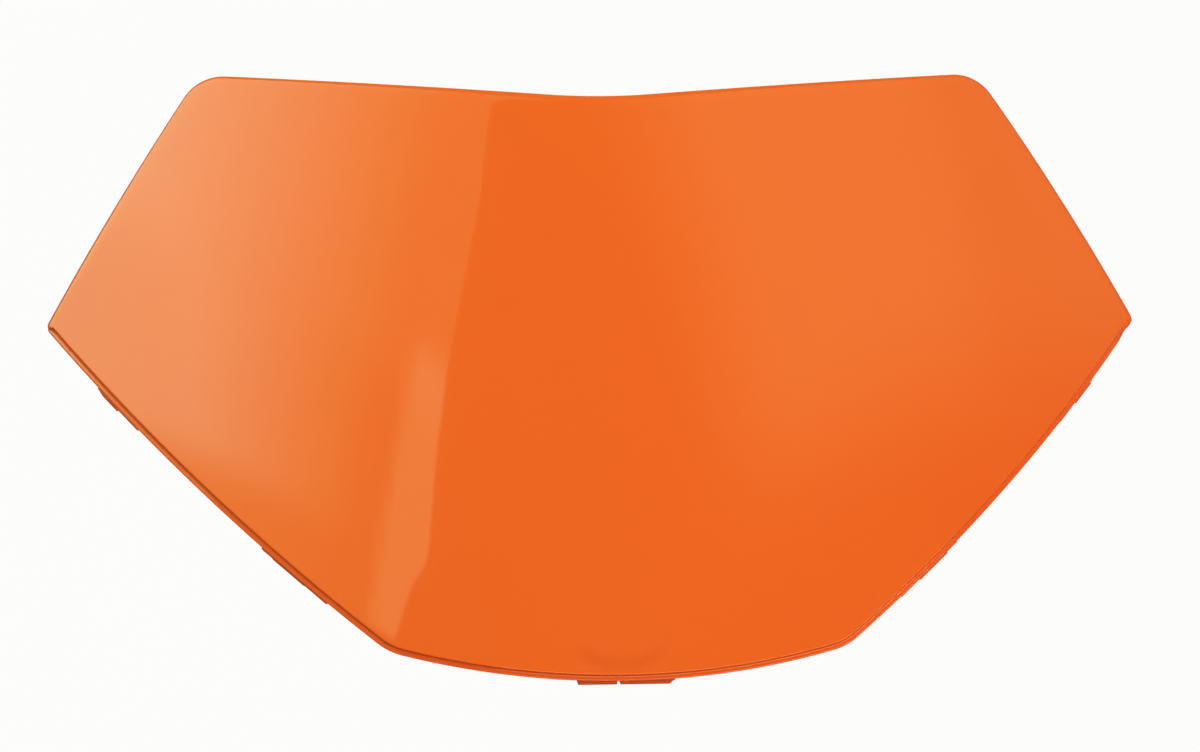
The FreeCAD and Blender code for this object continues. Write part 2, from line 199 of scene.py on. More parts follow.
class Signal:
    """A socket of a node tree. Arithmetic on it adds nodes to the tree."""

    def __init__(self, graph: "Graph", socket: bpy.types.NodeSocket) -> None:
        """Wraps a socket of a graph."""
        self.graph = graph
        self.socket = socket

    def math(self, operation: str, other: "Signal | float") -> "Signal":
        """Adds a Math node.

        Args:
            operation: the node's operation.
            other: the second value.

        Returns:
            The node's value.
        """
        return self.graph.node("ShaderNodeMath", {"operation": operation}, {0: self, 1: other})

    def __add__(self, other: "Signal | float") -> "Signal":
        """Adds."""
        return self.math("ADD", other)

    __radd__ = __add__

    def __sub__(self, other: "Signal | float") -> "Signal":
        """Takes away."""
        return self.math("SUBTRACT", other)

    def __rsub__(self, other: float) -> "Signal":
        """Is taken away."""
        return (self * -1.0) + other

    def __mul__(self, other: "Signal | float") -> "Signal":
        """Multiplies."""
        return self.math("MULTIPLY", other)

    def step(self, low: float, high: float) -> "Signal":
        """Rises softly from 0 at low to 1 at high."""
        settings = {"interpolation_type": "SMOOTHSTEP"}
        return self.graph.node("ShaderNodeMapRange", settings, {"Value": self, 1: low, 2: high})


class Graph:
    """A material's node tree, written as formulas."""

    def __init__(self, name: str) -> None:
        """Makes a material with an empty tree."""
        self.material = bpy.data.materials.new(name)
        self.material.use_nodes = True
        self.tree = self.material.node_tree
        self.tree.nodes.clear()

    def node(
        self, kind: str, settings: dict[str, object], inputs: dict[str | int, object], output: str | int = 0
    ) -> Signal:
        """Adds any node.

        Args:
            kind: the node's type.
            settings: the node's own properties, which are set first.
            inputs: a signal or a constant for each socket, by name or number.
            output: the socket to give back.

        Returns:
            The output socket.
        """
        made = self.tree.nodes.new(kind)
        for key, value in settings.items():
            setattr(made, key, value)
        for key, value in inputs.items():
            if isinstance(value, Signal):
                self.tree.links.new(value.socket, made.inputs[key])
            else:
                made.inputs[key].default_value = value
        return Signal(self, made.outputs[output])

    def place(self, stretch: tuple[float, float, float] = (1.0, 1.0, 1.0)) -> Signal:
        """Gives the place on the object, in metres times a stretch along each axis."""
        place = self.node("ShaderNodeTexCoord", {}, {}, "Object")
        return self.node("ShaderNodeVectorMath", {"operation": "MULTIPLY"}, {0: place, 1: stretch})

    def noise(self, place: Signal, scale: float, detail: float) -> Signal:
        """Gives soft noise about 0, within about 0.5 each way."""
        inputs = {"Vector": place, "Scale": scale, "Detail": detail}
        return self.node("ShaderNodeTexNoise", {}, inputs) - 0.5

    def attribute(self, name: str) -> Signal:
        """Gives one of the mesh's own numbers."""
        return self.node("ShaderNodeAttribute", {"attribute_name": name}, {}, "Fac")

    def blend(self, factor: "Signal | float", first: object, second: object) -> Signal:
        """Mixes two colours."""
        inputs = {"Factor": factor, 6: first, 7: second}
        return self.node("ShaderNodeMix", {"data_type": "RGBA"}, inputs, 2)

    def bump(self, height: Signal, distance: float) -> Signal:
        """Turns a height from 0 to 1 into a normal, for a relief that deep in metres."""
        return self.node("ShaderNodeBump", {}, {"Strength": 1.0, "Distance": distance, "Height": height})

    def finish(self, shader: Signal) -> bpy.types.Material:
        """Ends the tree with a surface."""
        output = self.tree.nodes.new("ShaderNodeOutputMaterial")
        self.tree.links.new(shader.socket, output.inputs["Surface"])
        return self.material


def rgba(colour: Colour) -> tuple[float, float, float, float]:
    """Adds an opaque fourth value to a colour."""
    return (*colour, 1.0)


@dataclass(frozen=True)
class MouldedPlastic:
    """Finish of glossy plastic that is coloured through: polished in front, finely grained behind."""

    name: str
    colour: Colour
    deep: Colour
    polish: float
    grain: float
    refraction: float = 1.49
    cloud_scale: float = 22.0
    cloud_shade: float = 0.5
    flow_stretch: tuple[float, float, float] = (30.0, 30.0, 6.0)
    flow_scale: float = 3.0
    flow_shade: float = 0.2
    flow_rough: float = 0.25
    # How far the sink mark's colour is darkened: painted shade, on top of the mark's real shallow dent
    sink_painted_shade: float = 0.45
    inside_shade: float = 0.2
    peel_scale: float = 260.0
    peel_share: float = 0.05
    grain_scale: float = 2600.0
    relief_depth: float = 0.00003

    def material(self) -> bpy.types.Material:
        """Makes the finish's material.

        Returns:
            A material that reads the piece's own inside and sink attributes.
        """
        graph = Graph(self.name)
        place = graph.place()
        inside = graph.attribute("inside")
        sink = graph.attribute("sink")
        cloud = graph.noise(place, self.cloud_scale, detail=3.0)
        flow = graph.noise(graph.place(self.flow_stretch), self.flow_scale, detail=3.0)
        peel = graph.noise(place, self.peel_scale, detail=1.0)
        texture = graph.noise(place, self.grain_scale, detail=3.0)
        # Cloud and flow are the plastic's own random tone; the sink mark's darkening is painted shade
        shade = cloud * self.cloud_shade + flow * self.flow_shade + sink * self.sink_painted_shade
        shade = shade + inside * self.inside_shade
        colour = graph.blend(shade.math("MAXIMUM", 0.0), rgba(self.colour), rgba(self.deep))
        rough = (inside * (self.grain - self.polish) + self.polish) * (1.0 + flow * self.flow_rough)
        relief = peel * (1.0 - inside) * self.peel_share + texture * inside
        surface = graph.node(
            "ShaderNodeBsdfPrincipled",
            {},
            {
                "Base Color": colour,
                "Roughness": rough,
                "IOR": self.refraction,
                "Normal": graph.bump(relief + 0.5, self.relief_depth),
            },
        )
        return graph.finish(surface)


@dataclass(frozen=True)
class PaleBackdrop:
    """Finish of a matt studio floor that glows palely, so that shadows on it stay faint."""

    name: str
    colour: Colour
    glow: float
    tints: tuple[Colour, Colour] = ((0.98, 0.98, 0.98), (1.0, 1.0, 1.0))
    mottle: float = 0.05
    mottle_scale: float = 3.0
    rough: float = 0.9

    def material(self) -> bpy.types.Material:
        """Makes the finish's material."""
        graph = Graph(self.name)
        mottle = graph.noise(graph.place(), self.mottle_scale, detail=4.0)
        pale = graph.blend(mottle * self.mottle + 0.5, *(rgba(tint) for tint in self.tints))
        surface = graph.node(
            "ShaderNodeBsdfPrincipled",
            {},
            {
                "Base Color": rgba(self.colour),
                "Roughness": self.rough,
                "Specular IOR Level": 0.0,
                "Emission Color": pale,
                "Emission Strength": self.glow,
            },
        )
        return graph.finish(surface)


@dataclass(frozen=True)
class LampCloth:
    """Finish of a softbox's cloth: the studio's dim surround and, on top of it, the panel's own glow."""

    name: str
    dim: Colour
    bright: Colour
    full: float = 4.0

    def material(self) -> bpy.types.Material:
        """Makes the finish's material, which turns from its dim to its bright tint as it glows more."""
        graph = Graph(self.name)
        glow = graph.attribute("glow")
        tint = graph.blend(glow.step(0.0, self.full), rgba(self.dim), rgba(self.bright))
        colour = graph.node(
            "ShaderNodeVectorMath", {"operation": "MULTIPLY_ADD"}, {0: tint, 1: glow, 2: SURROUND}
        )
        light = graph.node("ShaderNodeEmission", {}, {"Color": colour, "Strength": 1.0})
        material = graph.finish(light)
        material.cycles.emission_sampling = "FRONT"
        return material


@dataclass(frozen=True)
class Barrel:
    """The face: a gently crowned section turned about an axis that leans back with it."""

    radius: float = 241.8
    crown: float = 700.0
    lean: float = math.radians(19.85)
    rise: float = 64.4

    def waist(self) -> Pair:
        """Gives y and z of the waist, from which the section is drawn."""
        bow = self.crown - math.sqrt(self.crown**2 - self.rise**2)
        sine, cosine = math.sin(self.lean), math.cos(self.lean)
        return self.rise * sine - bow * cosine, self.rise * cosine + bow * sine

    def depth(self, x: np.ndarray, z: np.ndarray, behind: np.ndarray | float) -> np.ndarray:
        """Finds y of the layer that lies behind the face by some depth.

        The layer's radius about the axis shrinks with the crown's circle; y is put right from a guess
        until the point lies on it.

        Args:
            x: across the plate.
            z: up.
            behind: depth of the layer behind the face.

        Returns:
            y at each point.
        """
        waist_y, waist_z = self.waist()
        sine, cosine = math.sin(self.lean), math.cos(self.lean)
        up = z - waist_z
        y = up * math.tan(self.lean) + x * x / (2.0 * self.radius) + behind
        for _ in range(DEPTH_ROUNDS):
            along = y * sine + up * cosine
            around = self.radius - self.crown + np.sqrt((self.crown - behind) ** 2 - along**2)
            across = self.radius - np.sqrt(around**2 - x * x)
            y = y + DEPTH_EASE * ((across + up * sine) / cosine - y)
        return y + waist_y

    def point(self, flat: np.ndarray, behind: np.ndarray | float) -> np.ndarray:
        """Lifts points of the front view on to a layer behind the face."""
        x, z = flat[..., 0], flat[..., 1]
        return np.stack([x, self.depth(x, z, behind), z], axis=-1)


@dataclass(frozen=True)
class Bow:
    """One edge of the outline: an arc that turns anticlockwise about a centre inside the plate."""

    centre: np.ndarray
    radius: float

    @classmethod
    def between(cls, start: Sequence[float], end: Sequence[float], radius: float) -> "Bow":
        """Makes the arc that runs from one corner to the next with a radius."""
        first, last = np.array(start), np.array(end)
        chord = last - first
        length = float(np.hypot(*chord))
        left = np.array([-chord[1], chord[0]]) / length
        return cls((first + last) / 2.0 + left * math.sqrt(radius**2 - (length / 2.0) ** 2), radius)

    def foot(self, point: np.ndarray, inset: float) -> np.ndarray:
        """Gives the nearest place to a point on the arc set in by inset."""
        return self.centre + unit(point - self.centre) * (self.radius - inset)

    def run(self, start: np.ndarray, end: np.ndarray, count: int) -> np.ndarray:
        """Gives count points along the arc after start and before end."""
        first, last = (np.arctan2(*(place - self.centre)[::-1]) for place in (start, end))
        turn = (last - first + math.pi) % (2.0 * math.pi) - math.pi
        angle = first + turn * np.arange(1, count) / count
        radius = np.hypot(*(start - self.centre))
        return self.centre + radius * np.stack([np.cos(angle), np.sin(angle)], axis=-1)


@dataclass(frozen=True)
class Corner:
    """A rounded corner of the outline, before rounding at its place."""

    place: Pair
    radius: float
    steps: int
    hollow: bool = False


@dataclass
class Outline:
    """The plate's front view, anticlockwise from the middle of the left top corner.

    The step starts on the left tip's rounding, and fades out over the last points before the right tip.
    """

    tip: Pair = (125.0, 77.9)
    top: Pair = (90.0, 135.6)
    low: Pair = (49.95, 6.5)
    notch: float = 128.6
    side_radius: float = 813.0
    lower_radius: float = 523.0
    tip_round: float = 1.8
    top_round: float = 10.3
    low_round: float = 14.0
    notch_round: float = 150.0
    tip_turn_steps: int = 12
    top_turn_steps: int = 16
    low_turn_steps: int = 20
    notch_turn_steps: int = 24
    side_steps: int = 56
    lower_steps: int = 92
    bottom_steps: int = 120
    top_steps: int = 50
    left_start: Pair = (6.0, 12.0)
    right_fade: Pair = (-0.5, 4.0)

    def __post_init__(self) -> None:
        """Sets out the corners and the edges between them."""
        (tip_x, tip_z), (top_x, top_z), (low_x, low_z) = self.tip, self.top, self.low
        self.corners = [
            Corner((-top_x, top_z), self.top_round, self.top_turn_steps),
            Corner((-tip_x, tip_z), self.tip_round, self.tip_turn_steps),
            Corner((-low_x, low_z), self.low_round, self.low_turn_steps),
            Corner((low_x, low_z), self.low_round, self.low_turn_steps),
            Corner((tip_x, tip_z), self.tip_round, self.tip_turn_steps),
            Corner((top_x, top_z), self.top_round, self.top_turn_steps),
            Corner((0.0, self.notch), self.notch_round, self.notch_turn_steps, hollow=True),
        ]
        bottom = (low_x**2 + low_z**2) / (2.0 * low_z)
        radii = (self.side_radius, self.lower_radius, bottom, self.lower_radius, self.side_radius)
        side, lower, top = self.side_steps, self.lower_steps, self.top_steps
        self.steps = (side, lower, self.bottom_steps, lower, side, top, top)
        self.bows = [
            Bow.between(self.corners[run].place, self.corners[(run + 1) % len(Run)].place, radius)
            for run, radius in zip(Run, (*radii, STRAIGHT, STRAIGHT))
        ]
        half_top, half_low = self.top_turn_steps // 2, self.low_turn_steps // 2
        self.upright = half_top + self.side_steps + self.tip_turn_steps + self.lower_steps + half_low
        self.level = self.low_turn_steps + self.bottom_steps

    def rounding(self, number: int, inset: float) -> np.ndarray:
        """Gives the points round one corner, from one edge's end to the next edge's start.

        The centre of the rounding lies as deep inside both edges as the corner's radius. It's found by
        putting a guess right along both edges' normals.

        Args:
            number: the corner's number.
            inset: how far the outline is set in.

        Returns:
            The points, both ends included.
        """
        corner = self.corners[number]
        before, after = self.bows[number - 1], self.bows[number]
        inside = -corner.radius if corner.hollow else max(corner.radius, inset + TINY)
        centre = np.array(corner.place)
        for _ in range(CORNER_ROUNDS):
            slopes = np.stack([unit(before.centre - centre), unit(after.centre - centre)])
            reach = np.array([bow.radius - np.hypot(*(centre - bow.centre)) for bow in (before, after)])
            centre = centre + np.linalg.solve(slopes, inside - reach)
        ends = [bow.foot(centre, inset) - centre for bow in (before, after)]
        first, last = (np.arctan2(end[1], end[0]) for end in ends)
        turn = (last - first + math.pi) % (2.0 * math.pi) - math.pi
        angle = first + turn * np.linspace(0.0, 1.0, corner.steps + 1)
        return centre + np.hypot(*ends[0]) * np.stack([np.cos(angle), np.sin(angle)], axis=-1)

    def ring(self, inset: float) -> np.ndarray:
        """Gives the outline set in from the edge, with the same number of points for every inset."""
        rounds = [self.rounding(run, inset) for run in Run]
        points = []
        for run, steps in zip(Run, self.steps):
            start, end = rounds[run], rounds[(run + 1) % len(Run)]
            points += [start, self.bows[run].run(start[-1], end[0], steps)]
        return np.roll(np.concatenate(points), -(self.top_turn_steps // 2), axis=0)

    def stepped(self) -> np.ndarray:
        """Gives 1 where the edge is stepped, along the lower edges, and 0 where it's plain."""
        share = []
        for run, steps in zip(Run, self.steps):
            is_lower = run in (Run.LEFT_LOWER, Run.BOTTOM, Run.RIGHT_LOWER)
            edge = Edge.STEPPED if is_lower else Edge.PLAIN
            turn = np.full(self.corners[run].steps + 1, edge.value)
            straight = np.full(steps - 1, edge.value)
            if run is Run.LEFT_LOWER:
                turn = turn * smooth(np.arange(len(turn)), *self.left_start)
            if run is Run.RIGHT_LOWER:
                straight = straight * smooth(np.arange(steps - 1.0), *self.right_fade)[::-1]
            share += [turn, straight]
        return np.roll(np.concatenate(share), -(self.top_turn_steps // 2))

    def fill(self, ring: np.ndarray) -> np.ndarray:
        """Fills a ring with a grid whose four sides are the ring's left, bottom, right and top.

        Each point is the sum of the blends between opposite sides, less the blend of the four corners.

        Args:
            ring: the outline's points, in the front view.

        Returns:
            Rows from the bottom up, columns from left to right.
        """
        up, over = self.upright, self.level
        closed = np.concatenate([ring, ring[:1]])
        left = closed[: up + 1][::-1]
        bottom = closed[up : up + over + 1]
        right = closed[up + over : 2 * up + over + 1]
        top = closed[2 * up + over :][::-1]
        u = np.linspace(0.0, 1.0, over + 1)[None, :, None]
        v = np.linspace(0.0, 1.0, up + 1)[:, None, None]
        level = (1.0 - v) * bottom[None] + v * top[None]
        upright = (1.0 - u) * left[:, None] + u * right[:, None]
        low = (1.0 - u) * bottom[0] + u * bottom[-1]
        high = (1.0 - u) * top[0] + u * top[-1]
        corners = (1.0 - v) * low + v * high
        return level + upright - corners


@dataclass
class Shell:
    """The panel with its rolled edge, stepped lower flange and turned-back rim.

    The edge roll is its width in the front view and its depth. The flange's lip stands out a little beyond
    the outline, and the rim's outer side draws in from it.
    """

    barrel: Barrel
    outline: Outline
    brace: "Brace"
    edge_roll: Pair = (3.0, 0.95)
    roll_power: float = 2.8
    roll_rows: int = 15
    step_width: float = 1.20
    step_foot: float = 0.92
    step_depth: float = 1.30
    flange_fall: float = 0.03
    flange_out: float = 0.22
    crest_bend: float = 0.22
    foot_bend: float = 0.28
    rim_depth: float = 7.0
    rim_wall: float = 2.4
    panel_wall: float = 2.2
    arris: float = 0.3
    fillet: float = 0.8
    back_margin: float = 1.0
    polished_rows: int = 3
    sink_depth: float = 0.03
    sink_spread: float = 1.7
    sink_drop: float = 1.5
    sink_ends: Pair = (1.5, -3.0)
    sink_fade: float = 0.3

    def plain_front(self) -> np.ndarray:
        """Gives the section over a plain edge, from the face to the rim's outer side.

        The roll starts softly: the inset falls and the depth grows with the same power of the way round.

        Returns:
            Rows of inset from the edge and depth behind the face.
        """
        inset, depth = self.edge_roll
        way = np.linspace(0.0, 1.0, self.roll_rows)
        roll = np.stack([inset * (1.0 - way) ** self.roll_power, depth * way**self.roll_power], axis=-1)
        side_rows = len(self.stepped_front()) - self.roll_rows
        side = np.linspace(depth, self.rim_depth / 2.0, side_rows + 1)[1:]
        return np.vstack([roll, np.stack([np.zeros(side_rows), side], axis=-1)])

    def stepped_front(self) -> np.ndarray:
        """Gives the section over a stepped edge: down the step, along the flange and over its arris."""
        face = (self.edge_roll[0], 0.0)
        crest, foot = (self.step_width, 0.0), (self.step_foot, self.step_depth)
        lip, rim = (-self.flange_out, self.step_depth + self.flange_fall), (0.0, self.rim_depth)
        step = (bend(face, crest, foot, self.crest_bend), bend(crest, foot, lip, self.foot_bend))
        return np.vstack([face, *step, bend(foot, lip, rim, self.arris)])

    def back(self) -> np.ndarray:
        """Gives the section round the rim's end and along its inner side to the panel's back."""
        outer, inner = (0.0, self.rim_depth), (self.rim_wall, self.rim_depth)
        root = (self.rim_wall, self.panel_wall)
        panel = (self.edge_roll[0] + self.back_margin, self.panel_wall)
        end = (bend((0.0, 0.0), outer, inner, self.arris), bend(outer, inner, root, self.arris))
        return np.vstack([*end, bend(inner, root, panel, self.fillet)])

    def sink(self, flat: np.ndarray) -> np.ndarray:
        """Gives the sink mark of the brace behind: 1 along a smile-shaped arc, fading to both sides."""
        x, z = flat[..., 0], flat[..., 1] + self.sink_drop
        off = np.hypot(x, z - self.brace.centre()) - self.brace.radius
        ends = smooth(np.abs(x), *(self.brace.width / 2.0 + end for end in self.sink_ends))
        return np.exp(-((off / self.sink_spread) ** 2)) * ends * (z < self.brace.centre())

    def build(self) -> bpy.types.Object:
        """Makes the shell: the face's grid, rings over the edge to the back, and the back's grid.

        Returns:
            The shell's object.
        """
        surface = Surface()
        stepped = self.outline.stepped()[:, None]
        rings, rows, inside, marks = [], [], [], []
        back = self.back()
        plain, step = (np.vstack([front, back]) for front in (self.plain_front(), self.stepped_front()))
        first_grained = len(plain) - len(back) + self.polished_rows
        for number, (plain_row, step_row) in enumerate(zip(plain, step)):
            plain_ring, step_ring = self.outline.ring(plain_row[0]), self.outline.ring(step_row[0])
            ring = plain_ring * (1.0 - stepped) + step_ring * stepped
            deep = plain_row[1] * (1.0 - stepped[:, 0]) + step_row[1] * stepped[:, 0]
            inside.append(float(number >= first_grained))
            # The sink mark ends at the step's crest
            before_crest = smooth(step_row[0], self.step_width, self.step_width + self.sink_fade)
            marks.append(self.sink(ring) * before_crest * (1.0 - inside[-1]))
            rings.append(ring)
            rows.append(self.barrel.point(ring, deep + marks[-1] * self.sink_depth))
        # The sink attribute carries the sink mark to the finish, which darkens its colour there as painted
        # shade; the mark also dents the face
        surface.grid(np.stack(rows), wrap=True, inside=np.array(inside)[:, None], sink=np.stack(marks))
        front = self.outline.fill(rings[0])
        mark = self.sink(front)
        face = self.barrel.point(front, mark * self.sink_depth)
        surface.grid(face, flip=True, inside=np.zeros((1, 1)), sink=mark)
        behind = self.barrel.point(self.outline.fill(rings[-1]), self.panel_wall)
        surface.grid(behind, **GRAINED)
        return surface.piece("plate_shell")


@dataclass
class SnapClip:
    """A tab behind the plate's edge, with a ramped nose on its outer side and rounded arrises."""

    name: str
    barrel: Barrel
    place: Pair
    outward: float
    width: float
    nose: Pair
    ramps: Pair
    nose_proud: float
    slit: float = 0.0
    slit_shift: float = 0.0
    wall: float = 2.2
    proud: float = 0.3
    setback: float = 3.0
    nose_setback: float = 5.0
    nose_front: float = 0.3
    nose_land: float = 1.2
    slit_edge: float = 0.08
    slit_front: Pair = (0.5, 0.2)
    slit_floor: float = 0.2
    reach: float = 12.0
    arris: float = 0.25
    side_rows: int = 60
    even_stations: int = 90
    fine_stations: int = 15
    fine_reach: float = 0.7

    def outer(self, along: np.ndarray, deep: np.ndarray) -> np.ndarray:
        """Gives how far the outer side stands beyond the plate's edge.

        Args:
            along: place along the edge from the clip's middle.
            deep: depth behind the face.

        Returns:
            The tab's own height, more on the nose, and next to none in the slit.
        """
        (lead, trail), (first, last) = self.ramps, self.nose
        held = smooth(along, first - lead, first) * smooth(along, last + trail, last)
        front = smooth(deep, self.nose_setback - self.nose_front, self.nose_setback)
        crest = self.nose_setback + self.nose_land
        fall = np.clip((self.reach - deep) / (self.reach - crest), 0.0, 1.0)
        height = self.proud + (self.nose_proud - self.proud) * held * front * fall
        if self.slit:
            off = np.abs(along - self.slit_shift) - self.slit / 2.0
            gap = smooth(off, self.slit_edge, -self.slit_edge)
            gap = gap * smooth(deep, *(self.nose_setback - ahead for ahead in self.slit_front))
            height = height - (height - self.proud + self.wall - self.slit_floor) * gap
        return height

    def axes(self) -> tuple[np.ndarray, np.ndarray, np.ndarray]:
        """Gives the clip's place on the face, its outward direction, and the edge's direction there."""
        outward = np.array([math.cos(self.outward), 0.0, math.sin(self.outward)])
        along = np.array([-outward[2], 0.0, outward[0]])
        flat = np.array(self.place) + np.outer([-0.5, 0.0, 0.5], along[::2]) * self.width
        points = self.barrel.point(flat, 0.0)
        along[1] = (points[2, 1] - points[0, 1]) / self.width
        return points[1], outward, unit(along)

    def build(self) -> bpy.types.Object:
        """Makes the clip: a closed section carried along the edge, backwards with the face.

        Returns:
            The clip's object.
        """
        middle, outward, along = self.axes()
        half, count = self.width / 2.0, self.side_rows
        # The section runs back along the outer side and forward along the inner side
        side = np.linspace(0.0, 1.0, count)
        deep = self.setback + (self.reach - self.setback) * np.concatenate([side, side[::-1]])
        is_outer = np.arange(2 * count) < count
        fine = [
            np.linspace(edge - self.fine_reach, edge + self.fine_reach, self.fine_stations)
            for edge in (*self.nose, self.slit_shift)
        ]
        stations = np.concatenate([np.linspace(-half, half, self.even_stations), *fine])
        along_grid = np.unique(stations.clip(-half, half))[:, None]
        rim = np.minimum(deep - self.setback, self.reach - deep)
        end = (half - np.abs(along_grid)) * np.ones_like(deep)
        # Near an arris the sides draw in along a quarter circle
        near = np.minimum(np.minimum(rim, end), self.arris)
        drawn = self.arris - np.sqrt(np.maximum(self.arris**2 - (self.arris - near) ** 2, 0.0))
        outer = self.outer(along_grid, deep) - drawn
        inner = self.proud - self.wall + drawn
        reach = np.where(is_outer, outer, inner)
        grid = middle + reach[..., None] * outward + deep[:, None] * np.array([0.0, 1.0, 0.0])
        grid = grid + along_grid[..., None] * along
        surface = Surface()
        surface.grid(grid, wrap=True, **GRAINED)
        for row, flip in ((grid[0], False), (grid[-1], True)):
            surface.grid(np.stack([row[:count], row[count:][::-1]]), flip=flip, **GRAINED)
        return surface.piece(self.name)


@dataclass
class Web:
    """A thin wall on the back of the panel, carried along a line, with a crest of rounded arrises."""

    name: str
    barrel: Barrel
    wall: float = 1.2
    root: float = 1.1
    arris: float = 0.2
    arris_points: int = 6

    def section(self) -> tuple[np.ndarray, np.ndarray, np.ndarray]:
        """Gives the wall's section: up one side, over the crest and down the other side.

        Returns:
            Places across the wall, drops below the crest, and which points are roots in the panel.
        """
        turn = np.linspace(0.0, math.pi / 2.0, self.arris_points)
        side = self.wall / 2.0 - self.arris + self.arris * np.sin(turn)
        fall = self.arris * (1.0 - np.cos(turn))
        across = np.concatenate([[-side[-1]], -side[::-1], side, [side[-1]]])
        drop = np.concatenate([[0.0], fall[::-1], fall, [0.0]])
        rooted = np.zeros(len(across), dtype=bool)
        rooted[[0, -1]] = True
        return across, drop, rooted

    def close(self, grid: np.ndarray, flip: bool) -> bpy.types.Object:
        """Closes a wall at its root and its two ends.

        Args:
            grid: the sections along the wall.
            flip: turns the wall's faces round.

        Returns:
            The wall's object.
        """
        surface = Surface()
        surface.grid(grid, wrap=True, flip=flip, **GRAINED)
        half = grid.shape[1] // 2
        for end, turned in ((grid[0], not flip), (grid[-1], flip)):
            surface.grid(np.stack([end[:half], end[half:][::-1]]), flip=turned, **GRAINED)
        return surface.piece(self.name)


@dataclass
class Brace(Web):
    """The curved wall above the bottom clip."""

    wall: float = 1.6
    radius: float = 16.5
    rise: float = 5.0
    width: float = 19.5
    depth: float = 8.0
    sections: int = 49

    def centre(self) -> float:
        """Gives the height of the arc's centre, on the plate's middle line."""
        return self.rise + self.radius

    def build(self) -> bpy.types.Object:
        """Makes the brace: its section carried along the arc, between two depths behind the face."""
        across, drop, rooted = self.section()
        reach = math.asin(self.width / 2.0 / self.radius)
        angle = np.linspace(-reach, reach, self.sections)[:, None]
        radius = self.radius + across
        flat = np.stack([radius * np.sin(angle), self.centre() - radius * np.cos(angle)], axis=-1)
        behind = np.where(rooted, self.root, self.depth - drop)
        return self.close(self.barrel.point(flat, behind), flip=False)


@dataclass
class Gusset(Web):
    """A three-cornered web that stiffens a clip's tab, at a place along it."""

    clip: SnapClip | None = None
    shift: float = 0.0
    foot: float = 6.0
    height: float = 9.0
    bury: float = 0.6
    sections: int = 34

    def build(self) -> bpy.types.Object:
        """Makes the gusset: its section carried from the foot's end up to the tab and a little into it."""
        middle, outward, along = self.clip.axes()
        across, drop, rooted = self.section()
        run = np.linspace(-self.foot, self.bury, self.sections)[:, None]
        over = (self.shift + across)[None, :] * np.ones_like(run)
        out = self.clip.proud - self.clip.wall + run * np.ones_like(over)
        grid = middle + out[..., None] * outward + over[..., None] * along
        root = self.barrel.depth(grid[..., 0], grid[..., 2], self.root)
        crest = grid[..., 1] + self.height * np.clip(run / self.foot + 1.0, 0.0, 1.0) - drop
        grid[..., 1] = np.where(rooted, root, np.maximum(crest, root))
        return self.close(grid, flip=True)


@dataclass
class Softbox:
    """A glowing panel that faces the plate from some direction and distance.

    Its near edge is a line through pairs of height and place across, from the bottom up.
    """

    name: str
    azimuth: float
    elevation: float
    near_edge: tuple[Pair, ...]
    far_edge: float
    low: float
    high: float
    power: float
    dim: Colour
    bright: Colour
    distance: float = 2000.0
    columns: int = 41
    rows: int = 49
    crowding: float = 1.5

    def glow(self, over: np.ndarray, up: np.ndarray) -> np.ndarray:
        """Gives the panel's brightness at a place on it, as a share of its power."""
        return np.ones(np.broadcast(over, up).shape)

    def build(self, target: Vector) -> bpy.types.Object:
        """Makes the panel and dresses it.

        Args:
            target: what the panel faces, in metres.

        Returns:
            The panel's object.
        """
        azimuth, elevation = math.radians(self.azimuth), math.radians(self.elevation)
        level = math.cos(elevation)
        toward = np.array([math.sin(azimuth) * level, -math.cos(azimuth) * level, math.sin(elevation)])
        over = unit(np.cross(toward, np.array([0.0, 0.0, 1.0])))
        up = np.cross(over, toward)
        crowded = np.linspace(0.0, 1.0, self.columns) ** self.crowding
        share, height = np.meshgrid(crowded, np.linspace(self.low, self.high, self.rows))
        near = np.interp(height, *zip(*self.near_edge))
        across = near + (self.far_edge - near) * share
        centre = np.array(target) / MM + self.distance * toward
        grid = centre + across[..., None] * over + height[..., None] * up
        surface = Surface()
        surface.grid(grid, flip=True, glow=self.power * self.glow(across, height))
        panel = surface.piece(self.name)
        panel.data.materials.append(LampCloth(f"{self.name}_cloth", self.dim, self.bright).material())
        panel.visible_camera = False
        return panel


@dataclass
class KeySoftbox(Softbox):
    """The large softbox on the left: brighter to its far side, with a bright strip up its near edge.

    A pair is where something sets in and where it's full, up the panel or across it.
    """

    foot: Pair = (-465.0, -350.0)
    foot_glow: float = 0.35
    belly: Pair = (20.0, -150.0)
    belly_glow: float = 0.17
    brow: Pair = (250.0, 550.0)
    brow_loss: float = 0.1
    base_glow: float = 0.24
    base_fall: Pair = (50.0, -150.0)
    base_loss: float = 0.10
    ramp_start: float = -480.0
    ramp_length: float = 900.0
    ramp_glow: float = 0.78
    ramp_limits: Pair = (0.88, 1.30)
    limit_rise: Pair = (-150.0, 150.0)
    strip_side: Pair = (-540.0, -600.0)
    strip_top: Pair = (110.0, 0.0)
    strip_glow: float = 0.30

    def glow(self, over: np.ndarray, up: np.ndarray) -> np.ndarray:
        """Gives the panel's brightness at a place on it, as a share of its power."""
        low = smooth(up, *self.foot)
        fade = self.foot_glow + (1.0 - self.foot_glow + self.belly_glow * smooth(up, *self.belly)) * low
        fade = fade - self.brow_loss * smooth(up, *self.brow)
        least, most = self.ramp_limits
        limit = least + (most - least) * smooth(up, *self.limit_rise)
        ramp = np.clip((over - self.ramp_start) / self.ramp_length, 0.0, limit)
        base = self.base_glow - self.base_loss * smooth(up, *self.base_fall)
        strip = smooth(over, *self.strip_side) * smooth(up, *self.strip_top)
        return base + self.ramp_glow * ramp * fade + self.strip_glow * strip


